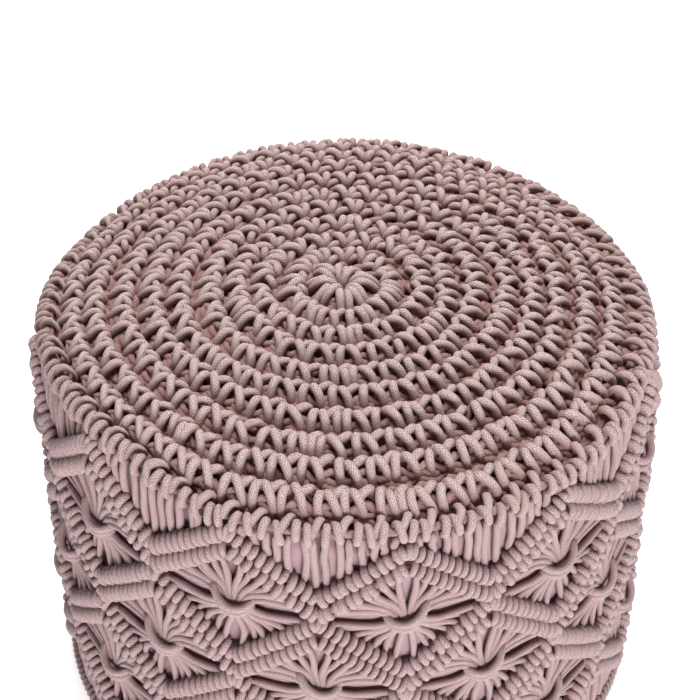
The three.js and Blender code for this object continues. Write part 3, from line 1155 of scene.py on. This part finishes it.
    def add_legs(self, ring: Round, leg: Leg, chosen: np.ndarray, narrow: np.ndarray) -> None:
        """Adds one kind of leg to the stitches of a round.

        Args:
            ring: The round.
            leg: Which leg.
            chosen: Numbers of the stitches that have it.
            narrow: Whether each of them has little room beside it.
        """
        start, lean = leg.value
        slanting = leg is Leg.RIGHT
        out, up, left, right, arch, rise = columns(self.LEG)
        if ring.first:
            out = out * np.where(out < 0.0, self.FIRST_INWARD, self.FIRST_OUTWARD)
            up = up + rise
        if ring.last:
            out = np.where(out > 3.0, out * self.LAST_OUTWARD, out)
        many = len(chosen)
        to_left = np.maximum(-np.sin(ring.turn[chosen]), 0.0)
        to_front = np.maximum(np.cos(ring.turn[chosen]), 0.0)
        reach = lean * ring.step / self.common_step + self.uneven(0.8, many)
        if slanting:
            reach = reach + self.LEAN_AT_LEFT * to_left - self.LEAN_AT_FRONT * to_front
            reach = np.where(narrow, self.LEAN_IN_NARROW * reach, reach)
        sway = start + self.uneven(0.5, many)
        beside = sway[:, None] + reach[:, None] * (right if slanting else left)[None]
        if not slanting:
            beside = beside + arch
        lift = up[None] + ((0.5 if slanting else 0.0) + self.uneven(0.6, many))[:, None]
        push = out[None] + self.uneven(0.9, many)[:, None] + ring.wander[chosen][:, None]
        longer = -0.1 if slanting else 0.4
        push = push + longer * to_left[:, None] * np.maximum(out, 0.0)[None]
        if ring.first:
            if not slanting:
                push = np.where(push < -self.DRAW_BACK, push + self.DRAW_BACK, push)
            sway = 0.25 * ring.step * np.sign(start) + self.uneven(0.5, many)
            beside = sway[:, None] * np.ones_like(out)
        control = self.bend(ring, ring.angle[chosen], (beside, push, lift))
        self.legs.add(smooth(control, 14), self.cord, swell=0.08)

    def add_caps(self, ring: Round) -> None:
        """Adds the short cords from each stitch to the next.

        Args:
            ring: The round.
        """
        out, up = columns(self.CAP)
        side = np.array([4.6, 6.2, 0.5 * ring.step, ring.step - 5.8, ring.step - 4.2])
        back = np.maximum(-np.cos(ring.turn), 0.0)
        lift = up[None] + (self.uneven(0.3, ring.count) - 2.2 * back)[:, None]
        push = out[None] + (ring.wander + self.uneven(0.7, ring.count) - 1.6 * back)[:, None]
        control = self.bend(ring, ring.angle, (side[None], push, lift))
        self.caps.add(smooth(control, 10), self.cord)

    def add_loops(self, ring: Round) -> None:
        """Adds the waving cords that show in the grooves beside a round.

        Args:
            ring: The round.
        """
        steps = ring.count * 6
        turn = np.arange(steps) * 360.0 / steps
        wave = np.sin(np.radians(turn * ring.count))
        rising = self.LOOP_RISE * np.roll(wave, 2)
        front = np.cos(np.radians(turn))
        away = 1.0 - np.maximum(front, 0.0)
        back = np.maximum(-front, 0.0)
        rows = self.LOOPS
        if ring.last:
            rows = self.LOOPS[:1] + self.RIM_LOOPS + self.LOOPS[3:]
        for out, up, sign, away_rise, back_in, back_rise in rows:
            radius = ring.crest + out + sign * self.LOOP_SWING * wave - back_in * back
            lift = away_rise * away + back_rise * back
            height = self.form.top(radius) + up + lift + rising - self.sink
            self.loops.add(place(turn, radius, height)[None], self.cord, closed=True)

    def add_stems(self, ring: Round) -> None:
        """Adds the short cords that cross the groove outside a round.

        Args:
            ring: The round.
        """
        out, up, right = columns(self.STEM)
        for share in self.STEM_PLACES:
            side = share * ring.step + self.uneven(1.2, ring.count, 1) + right
            control = self.bend(ring, ring.angle, (side, out, up))
            self.loops.add(smooth(control, 6), self.cord * 0.85)


@dataclass(frozen=True)
class Hitches:
    """How the hitches of an arm are drawn up. Each hitch is a first and a second wrap.

    Attributes:
        girth: Girth of a wrap, as a share of the cord's.
        wide: Distances of the two wraps from the bar's middle.
        wide_spread: Unevenness of those.
        lean: Leans of the two wraps along the bar.
        lean_spread: Unevenness of those.
        pairing: How far the two wraps draw together, as a share of the arm.
        slip: Unevenness of their places.
    """

    girth: float
    wide: tuple[float, float]
    wide_spread: float
    lean: tuple[float, float]
    lean_spread: float
    pairing: float = 0.0
    slip: float = 0.0


class Tension(Enum):
    """The two ways in which the hitches of an arm are drawn up."""

    TIGHT = Hitches(0.91, (4.15, 3.8), 0.12, (0.3, 0.3), 0.03)
    LOOSE = Hitches(1.03, (3.9, 3.25), 0.3, (0.36, 0.22), 0.08, pairing=0.006, slip=0.005)


@dataclass
class MacrameSide(CordWork):
    """The knotted side: lark's heads, strands, zigzag bars, gathering knots and the hem.

    Attributes:
        zigzags: Number of zigzags from top to bottom.
        drop: Height that an arm falls.
        period: Height from one zigzag to the next.
        first_depth: Depth of the first apex's middle below the rim.
        bar_radius: Distance of the bars' middle from the stool's axis.
        strand_radius: Distance of the strands from the stool's axis.
        wraps: Wraps of cord on an arm of a row.
        heads: Lark's heads around the rim.
        rim_ring_radius: Radius of the ring that the lark's heads hang on.
        rim_ring_depth: Depth of that ring below the rim.
        places: Places of hanging strands, with a pair and a single one in turn.
        pair_gap: Distance of each strand of a pair from its middle.
        fan: Strands on each side of a diamond.
        fan_angle: Angle from one strand of a fan to the next, where it leaves the bar.
        fan_gap: Distance from one strand of a fan to the next, where they are gathered.
        waist: Height of the gathered stretch above and below a diamond's middle.
        tie_slant: Slope of the ties, which rise away from the front.
        hem_wraps: Wraps on the hem.
        hem_radius: Distance of the hem's middle from the stool's axis.
        hem_height: Height of the hem's middle.
    """

    cord: float = 2.6
    seed: int = 8
    zigzags: int = 4
    drop: float = 46.0
    period: float = 66.0
    first_depth: float = 21.5
    bar_radius: float = 205.5
    strand_radius: float = 201.2
    wraps: int = 12
    heads: int = 72
    rim_ring_radius: float = 200.2
    rim_ring_depth: float = 5.0
    places: int = 120
    pair_gap: float = 3.1
    fan: int = 7
    fan_angle: float = 1.9
    fan_gap: float = 1.15
    waist: float = 7.0
    tie_slant: float = 0.3
    hem_wraps: int = 240
    hem_radius: float = 203.2
    hem_height: float = 5.6

    NODE = "macrame_side"
    MAIN_PIECE = "hanging_strands"

    # Columns: angle, rise of the knots there besides the rim's
    LEVELS = (
        (-180.0, 0.0),
        (-40.0, 0.0),
        (-28.0, 3.0),
        (-20.0, 2.5),
        (-5.0, 0.5),
        (10.0, -2.0),
        (25.0, 1.0),
        (40.0, -2.0),
        (70.0, 4.0),
        (90.0, 0.0),
        (180.0, 0.0),
    )

    # Columns: radius, height from the rim, share of the lean, way out at the left and right, rise there
    HEAD = (
        (196.0, -6.0, -0.1, 4.5, -1.5),
        (197.2, -1.0, 0.0, 4.0, -2.4),
        (200.4, 1.0, 0.12, 3.0, -2.4),
        (204.0, 0.0, 0.4, 1.4, -1.8),
        (206.2, -3.8, 0.72, 0.4, -0.8),
        (205.2, -8.6, 0.95, 0.0, 0.0),
        (199.2, -13.8, 1.0, 0.0, 0.0),
    )

    # Columns: where a half of a lark's head starts beside its middle, how far it leans
    HEAD_HALVES = ((-2.8, -1.8), (2.8, 2.2))

    # Columns: way to the right of a lark's head, radius, height from the rim
    HEAD_CAP = (
        (5.0, 204.2, -5.4),
        (6.2, 203.2, -1.2),
        (9.0, 198.4, 1.9),
        (12.0, 192.8, 1.8),
        (13.6, 189.6, -3.6),
    )

    # Turn of a wrap around its bar and around the hem, from below to above
    WRAP = np.radians(np.linspace(-132.0, 132.0, 9))
    HEM_WRAP = np.radians(np.linspace(-150.0, 150.0, 10))

    # How far a diamond's strand stands out along its length, and each second strand besides
    FAN_RISE = np.array([1.5, 0.6, 0.9, 1.6, 0.9, 0.6, 1.5])
    FAN_PROUD = (1.56, 0.24)

    # Columns: way across a diamond, radius, height
    TIE = (
        (-13.5, 202.0, 3.4),
        (-11.5, 206.0, 2.4),
        (-7.5, 209.6, -0.6),
        (0.0, 211.4, -2.4),
        (7.5, 209.6, -0.6),
        (11.5, 206.0, 2.4),
        (13.5, 202.0, 3.4),
    )

    # Columns: height of a tie above a diamond's middle, its share of the full size, way in
    TIES = ((3.4, 1.0, 0.0), (-1.4, 0.92, 0.6))

    def lay(self) -> None:
        """Lays the cords of the whole side, from the rim down to the floor."""
        self.add_lark_heads()
        self.add_hanging_strands()
        for number in range(self.zigzags):
            self.add_zigzag(number)
        self.add_diamond_strands()
        self.add_gathering_knots()
        self.add_hem()

    def new_set(self, name: str, yarn: Yarn = Yarn.SIDE, sides: int = 7, light: float = 1.0) -> Cords:
        """Starts the cords of one more piece.

        Args:
            name: Name of the piece.
            yarn: The cord that it is made of.
            sides: Number of flats around a cord.
            light: Share of the light that reaches the cords.

        Returns:
            The empty set of cords.
        """
        cords = Cords(name, yarn, sides, light)
        self.sets.append(cords)
        return cords

    def level(self, angle: np.ndarray, height: np.ndarray) -> np.ndarray:
        """How far the knots at a place sit above their even height.

        Args:
            angle: Angles around the stool.
            height: Even heights of the knots.

        Returns:
            The rise at each place.
        """
        at, rise = columns(self.LEVELS)
        share = np.clip(height / self.form.rim_height, 0.0, 1.0)
        return np.interp(angle, at, rise, period=360.0) * share

    def bar(self, zigzag: int, row: Row, angle: np.ndarray) -> np.ndarray:
        """Height of a bar's middle line.

        Args:
            zigzag: Number of the zigzag from the top.
            row: Which of its two rows.
            angle: Angles around the stool.

        Returns:
            The heights.
        """
        arm = self.form.arm
        within = (angle - self.form.first_apex + zigzag * arm) % (2 * arm)
        fall = self.drop * np.minimum(within, 2 * arm - within) / arm
        apex = self.form.rim_height - self.first_depth - self.period * zigzag
        height = apex - fall + row.value
        return height + self.level(angle, height)

    def spaced(self, count: int) -> np.ndarray:
        """Angles of evenly spaced places, half a step from the first apex."""
        return self.form.first_apex + 360.0 / count * (np.arange(count) + 0.5)

    def add_ring(self, cords: Cords, radius: float, height: float, cord: float) -> None:
        """Adds a level ring of cord.

        Args:
            cords: The cords to add to.
            radius: Radius of the ring.
            height: Height of the ring.
            cord: Radius of the cord.
        """
        turn = np.arange(0.0, 360.0, 2.0)
        cords.add(place(turn, radius, height)[None], cord, closed=True)

    def add_lark_heads(self) -> None:
        """Adds the loops over the rim and the caps between them."""
        cords = self.new_set("larks_heads", Yarn.TOP, sides=8, light=0.9)
        angle = self.spaced(self.heads)
        rim = self.form.rim_height
        self.add_ring(cords, self.rim_ring_radius, rim - self.rim_ring_depth, self.cord * 1.1)
        radius, height, share, out, rise = columns(self.HEAD)
        drift = self.uneven(0.9, self.heads, 1)
        sides = np.abs(np.sin(np.radians(angle)))[:, None]
        back = np.maximum(-np.cos(np.radians(angle)), 0.0)[:, None]
        radius = radius[None] + sides * out
        height = height[None] + sides * rise - 1.2 * back
        for start, lean in self.HEAD_HALVES:
            beside = start + drift + self.uneven(0.4, self.heads, 1)
            reach = lean + self.uneven(1.2, self.heads, 1)
            turned = angle[:, None] + np.degrees((beside + reach * share[None]) / 200.0)
            hang = self.uneven(1.1, self.heads, 1) * (1.0 - 0.6 * back)
            up = rim + height + hang * np.linspace(0.5, 1.5, len(share))
            cords.add(smooth(place(turned, radius, up), 13), self.cord * 1.04)
        side, out, up = columns(self.HEAD_CAP)
        sway = drift + self.uneven(0.6, self.heads, 1)
        sway = sway + self.uneven(0.5, self.heads, len(side))
        turned = angle[:, None] + np.degrees((side[None] + sway) / 198.0)
        lift = rim + up[None] + self.uneven(0.8, self.heads, 1)
        cords.add(smooth(place(turned, out[None], lift), 11), self.cord)

    def strand_angles(self) -> np.ndarray:
        """Angles of the hanging strands, a pair and a single one in turn.

        Returns:
            All the pairs, and then all the single ones.
        """
        middle = self.spaced(self.places)
        gap = np.degrees(np.array([-self.pair_gap, self.pair_gap]) / 204.0)
        pair = middle[0::2, None] + gap[None]
        return np.concatenate([pair.ravel(), middle[1::2]])

    def add_hanging_strands(self) -> None:
        """Adds the strands from the rim to the first zigzag, and from the last one to the hem."""
        cords = self.new_set("hanging_strands")
        angle = self.strand_angles()
        many = len(angle)
        rim = np.full(many, self.form.rim_height - 7.5)
        first = self.bar(0, Row.UPPER, angle) + 2.0
        last = self.bar(self.zigzags - 1, Row.LOWER, angle) - 2.0
        foot = np.full(many, 6.0)
        share = np.linspace(0.0, 1.0, 6)
        bow = np.sin(np.pi * share)[None]
        for top, low in ((rim, first), (last, foot)):
            high = np.maximum(top, low + 1.0)
            height = high[:, None] + (low - high)[:, None] * share[None]
            kinks = self.uneven(0.12, many, len(share))
            turned = angle[:, None] + (kinks + self.uneven(0.32, many, 1) * bow)
            radius = self.strand_radius + (0.2 + self.uneven(0.5, many, 1)) + 1.6 * bow
            cords.add(smooth(place(turned, radius, height), 10), self.cord)

    def add_zigzag(self, number: int) -> None:
        """Adds one zigzag: two rows of half hitches on their holding cords.

        Args:
            number: Number of the zigzag from the top.
        """
        cords = self.new_set(f"zigzag_{number + 1}")
        arms = 2 * self.form.repeats
        steps = 8
        turn = self.form.first_apex + np.arange(arms * steps) * self.form.arm / steps
        for row in Row:
            core = place(turn, self.bar_radius - 0.3, self.bar(number, row, turn))
            rounded = 0.5 * core + 0.25 * (np.roll(core, 1, axis=0) + np.roll(core, -1, axis=0))
            # Painted shade: the holding cord is darkened on its outer side, where it shows between the
            # wraps.
            lit_from_inside = -outward(rounded[None])
            cords.add(rounded[None], self.cord * 1.05, closed=True, away=lit_from_inside)
            if row is Row.UPPER:
                self.add_corners(cords, number)
            for column in range(arms):
                self.add_hitches(cords, number, row, column)

    def add_corners(self, cords: Cords, number: int) -> None:
        """Closes the upper row of a zigzag at its apexes.

        Args:
            cords: The cords to add to.
            number: Number of the zigzag.
        """
        column = 2 * np.arange(self.form.repeats) + number % 2
        angle = self.form.first_apex + column * self.form.arm
        height = self.bar(number, Row.UPPER, angle) - 1.0
        radius = self.bar_radius + 3.6 * np.cos(self.WRAP)[None]
        around = angle[:, None] + 0.25 * np.sin(self.WRAP)[None]
        path = place(around, radius, height[:, None] + 4.2 * np.sin(self.WRAP)[None])
        away = path - place(angle, self.bar_radius, height)[:, None]
        cords.add(path, self.cord * 0.9, taper=0.8, away=away)

    def add_hitches(self, cords: Cords, number: int, row: Row, column: int) -> None:
        """Wraps one arm of a row with half hitches.

        Args:
            cords: The cords to add to.
            number: Number of the zigzag.
            row: The row of the zigzag.
            column: Number of the arm around the stool.
        """
        arm = self.form.arm
        start = self.form.first_apex + column * arm
        at_left = (start + 0.5 * arm) % 360.0 >= 180.0
        slope = Slope.FALLING if (column + number) % 2 == 0 else Slope.RISING
        tension = Tension.TIGHT if (slope is Slope.RISING) == at_left else Tension.LOOSE
        hitches = tension.value
        first = np.arange(self.wraps) % 2 == 0
        share = (np.arange(self.wraps) + 0.5) / self.wraps
        if tension is Tension.LOOSE:
            share = share + np.where(first, hitches.pairing, -hitches.pairing)
            share = share + self.uneven(hitches.slip, self.wraps)
        wide = np.where(first, *hitches.wide) + self.uneven(hitches.wide_spread, self.wraps)
        lean = np.where(first, *hitches.lean) + self.uneven(hitches.lean_spread, self.wraps)
        angle = start + arm * share
        middle = place(angle, self.bar_radius, self.bar(number, row, angle))
        ahead = place(angle + 0.1, self.bar_radius, self.bar(number, row, angle + 0.1))
        along = unit(ahead - middle)
        out = place(angle, 1.0, 0.0)
        up = unit(np.cross(along, out))
        up = 1.08 * up * np.sign(up[:, 2:3])
        tilted = up + along * (slope.value * lean)[:, None]
        cosine = np.cos(self.WRAP)[None, :, None]
        sine = np.sin(self.WRAP)[None, :, None]
        ring = out[:, None] * cosine + tilted[:, None] * sine
        path = middle[:, None] + ring * wide[:, None, None]
        cords.add(path, self.cord * hitches.girth, taper=0.8, away=ring)

    def diamonds(self) -> list[tuple[int, float, float]]:
        """The number of the zigzag above, the angle and the height of each diamond's middle.

        Returns:
            Those three for each diamond.
        """
        found = []
        for number in range(self.zigzags - 1):
            for column in range(number % 2, 2 * self.form.repeats, 2):
                angle = self.form.first_apex + column * self.form.arm
                high = self.bar(number, Row.LOWER, angle)
                low = self.bar(number + 1, Row.UPPER, angle)
                found.append((number, angle, 0.5 * (high + low)))
        return found

    def add_diamond_strands(self) -> None:
        """Adds the strands that gather at the middle of each diamond and fan out again."""
        cords = self.new_set("diamond_strands")
        rank = np.arange(self.fan)
        offsets = self.fan_angle * (1 + rank)
        gathered = np.degrees((1.0 + self.fan_gap * rank) / 205.0)
        proud = np.where(rank % 2 == 0, *self.FAN_PROUD)
        radius = self.strand_radius + self.FAN_RISE[None] + proud[:, None]
        paths = []
        for number, angle, middle in self.diamonds():
            for side in (-1.0, 1.0):
                at = angle + side * offsets
                near = angle + side * gathered
                turns = (at, 0.72 * at + 0.28 * near, 0.25 * at + 0.75 * near, near)
                turned = np.stack([*turns, *turns[-2::-1]], axis=1)
                turned = turned + self.uneven(0.22, *turned.shape)
                high = self.bar(number, Row.LOWER, at) - 2.5
                low = self.bar(number + 1, Row.UPPER, at) + 2.5
                top = middle + self.waist
                foot = middle - self.waist
                upper = (high, 0.55 * high + 0.45 * top, 0.2 * high + 0.8 * top)
                lower = (0.2 * low + 0.8 * foot, 0.55 * low + 0.45 * foot, low)
                heights = np.stack([*upper, np.full(self.fan, middle), *lower], axis=1)
                paths.append(place(turned, radius, heights))
        cords.add(smooth(np.concatenate(paths), 14), self.cord * 0.9)

    def add_gathering_knots(self) -> None:
        """Adds the cords tied across the middle of each diamond."""
        cords = self.new_set("gathering_knots", sides=8)
        across, out, sag = columns(self.TIE)
        paths = []
        for _, angle, middle in self.diamonds():
            slant = self.tie_slant if angle % 360.0 < 180.0 else -self.tie_slant
            for level, scale, inset in self.TIES:
                tilt = slant + self.uneven(0.06)
                turned = angle + np.degrees(across * scale / 207.0)
                height = middle + level + sag * scale + across * tilt
                paths.append(place(turned, out - inset, height))
        cords.add(smooth(np.stack(paths), 18), self.cord)

    def add_hem(self) -> None:
        """Adds the bar of wraps that stands on the floor."""
        cords = self.new_set("hem", sides=6)
        angle = np.arange(self.hem_wraps) * 360.0 / self.hem_wraps
        radius = self.hem_radius + 0.2 + 3.1 * np.cos(self.HEM_WRAP)
        height = self.hem_height + 3.1 * np.sin(self.HEM_WRAP)
        turned = angle[:, None] + np.degrees(0.8 * np.sin(self.HEM_WRAP)[None] / 203.0)
        cords.add(place(turned, radius, height), self.cord, taper=0.9)
        self.add_ring(cords, self.hem_radius, self.hem_height, self.cord)


@dataclass
class Cushion:
    """The filled cloth cushion that shows between the cords.

    Attributes:
        form: The stool's shape.
        around: Number of points around.
        wall_radius: Radius of its side.
        wall_rows: Rows of points up its side.
        top_sink: Depth of its top below the crown.
        ripple: Height of the soft ripples that the net presses into its side.
        fill: How tightly it is filled; not used.
        piece: The finished piece.
    """

    form: Form
    around: int = 180
    wall_radius: float = 199.2
    wall_rows: int = 24
    top_sink: float = 17.0
    ripple: float = 0.5
    fill: float = 0.85
    piece: bpy.types.Object | None = field(default=None, init=False)

    NODE = "cushion"

    # Columns: radius, height; the base, from near the axis to the side
    BASE = (
        (8.0, 0.0),
        (60.0, 0.0),
        (120.0, 0.0),
        (176.0, 0.0),
        (187.0, 1.2),
        (194.0, 6.0),
        (197.6, 14.0),
    )

    # Columns: radius, depth below the rim; the shoulder, from the side to the top
    SHOULDER = ((198.0, 23.0), (195.0, 20.0), (189.0, 17.5))

    # Radii of the rows of points on the top
    TOP_RADII = (182.0, 168.0, 150.0, 120.0, 80.0, 40.0, 8.0)

    def build(self) -> None:
        """Builds the cushion from its rows of points, from the base up to the top."""
        rim = self.form.rim_height
        rows = list(self.BASE)
        rows += [(self.wall_radius, height) for height in np.linspace(24.0, rim - 26.0, self.wall_rows)]
        rows += [(radius, rim - depth) for radius, depth in self.SHOULDER]
        rows += [(radius, rim - self.top_sink) for radius in self.TOP_RADII]
        radius, height = columns(rows)
        angle = np.arange(self.around) * 360.0 / self.around
        wave = np.sin(np.radians(angle[None] * self.form.repeats - 120.0 + height[:, None] * 2.7))
        side = ((height > 20.0) & (height < rim - 24.0) & (radius > 190.0)).astype(float)
        bulge = radius[:, None] + self.ripple * side[:, None] * wave
        crown = np.where(height[:, None] > rim - 18.0, self.form.top(bulge) - rim, 0.0)
        points = place(angle[None], bulge, height[:, None] + crown)
        number = np.arange(bulge.size).reshape(1, -1, self.around)
        faces = [sleeve(number), ends(number)]
        # Painted shade on the cloth beneath the top: full light up to 24 mm below the rim, falling to a
        # quarter of it from 16.5 mm below the rim upwards.
        shade = np.clip((rim - 14.0 - height) / 10.0, 0.25, 1.0)
        shades = np.broadcast_to(shade[:, None], bulge.shape)
        settled = self.form.settle(points.reshape(-1, 3)) * MM
        self.piece = mesh_object("cushion_cloth", settled, faces, shades)

    def dress(self, cloth: bpy.types.Material) -> None:
        """Dresses the cushion in its cloth and puts it in the place of its solid.

        Args:
            cloth: Material of the cloth.
        """
        dress_piece(self.piece, cloth)
        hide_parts(self.NODE)


# Studio


@dataclass(frozen=True)
class SoftLight:
    """A rectangular light that faces the stool.

    Attributes:
        name: Name of the light.
        spot: Place of the light in metres.
        size: Width and height of the light in metres.
        power: Power in watts.
    """

    name: str
    spot: tuple[float, float, float]
    size: tuple[float, float]
    power: float

    # Place that the light faces, in metres
    TARGET = Vector((0.0, 0.0, 0.2))

    def build(self) -> None:
        """Adds the light to the scene."""
        data = bpy.data.lights.new(self.name, "AREA")
        data.shape = "RECTANGLE"
        data.size, data.size_y = self.size
        data.energy = self.power
        lamp = bpy.data.objects.new(self.name, data)
        lamp.location = self.spot
        lamp.rotation_euler = (self.TARGET - Vector(self.spot)).to_track_quat("-Z", "Y").to_euler()
        bpy.context.scene.collection.objects.link(lamp)


@dataclass(frozen=True)
class Studio:
    """Camera, floor and soft lights.

    Attributes:
        lens: Focal length in millimetres.
        sensor: Width of the sensor in millimetres.
        distance: Camera's distance in front of the axis, in metres.
        height: Camera's height in metres.
        pitch: Angle that it looks down, in degrees.
        yaw: Angle that it looks to the right, in degrees.
        floor_half: Half of the floor's width in metres.
        ambient: Strength of the light from all around.
        lights: The soft lights.
    """

    lens: float = 95.5
    sensor: float = 36.0
    distance: float = 0.966
    height: float = 1.053
    pitch: float = 39.60
    yaw: float = 0.101
    floor_half: float = 6.0
    ambient: float = 0.15
    lights: tuple[SoftLight, ...] = (
        SoftLight("key_light", (0.12, 0.42, 2.2), (1.1, 1.1), 69.0),
        SoftLight("front_light", (0.5, -2.3, 0.28), (1.2, 0.5), 53.0),
        SoftLight("back_light", (-0.3, 2.4, 0.9), (1.2, 1.2), 22.0),
    )

    def build(self) -> None:
        """Builds the camera, the floor and the lights."""
        bpy.context.scene.view_settings.view_transform = "Standard"
        self.camera()
        self.floor()
        for light in self.lights:
            light.build()
        world = bpy.data.worlds.new("studio")
        world.use_nodes = True
        background = world.node_tree.nodes["Background"]
        background.inputs["Color"].default_value = (1.0, 1.0, 1.0, 1.0)
        background.inputs["Strength"].default_value = self.ambient
        bpy.context.scene.world = world

    def camera(self) -> None:
        """Adds the camera at the viewing angle."""
        data = bpy.data.cameras.new("camera")
        data.lens = self.lens
        data.sensor_width = self.sensor
        camera = bpy.data.objects.new("camera", data)
        camera.location = (0.0, -self.distance, self.height)
        camera.rotation_euler = (math.radians(90.0 - self.pitch), 0.0, -math.radians(self.yaw))
        bpy.context.scene.collection.objects.link(camera)
        bpy.context.scene.camera = camera

    def floor(self) -> None:
        """Adds the plain pale floor."""
        corners = np.array([[-1.0, -1.0, 0.0], [1.0, -1.0, 0.0], [1.0, 1.0, 0.0], [-1.0, 1.0, 0.0]])
        floor = mesh_object("floor", corners * self.floor_half, [np.array([[0, 1, 2, 3]])])
        floor.data.materials.append(FloorFinish().material())


def main() -> None:
    """Builds the studio and the stool, and reports each piece."""
    logging.basicConfig(level=logging.INFO, format="%(message)s")
    form = Form()
    Studio().build()
    top_cord = CordFinish()
    # Painted shade: the side's cord is a darker, more lilac copy of the top cord's colours.
    shaded_side_cord = CordFinish(Yarn.SIDE, light=(0.466, 0.349, 0.358, 1.0), dark=(0.33, 0.165, 0.172, 1.0))
    yarns = {finish.yarn: finish.material() for finish in (top_cord, shaded_side_cord)}
    cushion = Cushion(form)
    cushion.build()
    cushion.dress(ClothFinish().material())
    top = CrochetTop(form)
    side = MacrameSide(form)
    top.lay()
    side.lay()
    air = Air(top.sets + side.sets)
    for work in (top, side):
        work.build(air)
        work.dress(yarns)
    for piece in [cushion.piece, *top.pieces, *side.pieces]:
        LOG.info("%s: %d faces", piece.name, len(piece.data.polygons))
    bpy.context.view_layer.update()


if __name__ == "__main__":
    main()
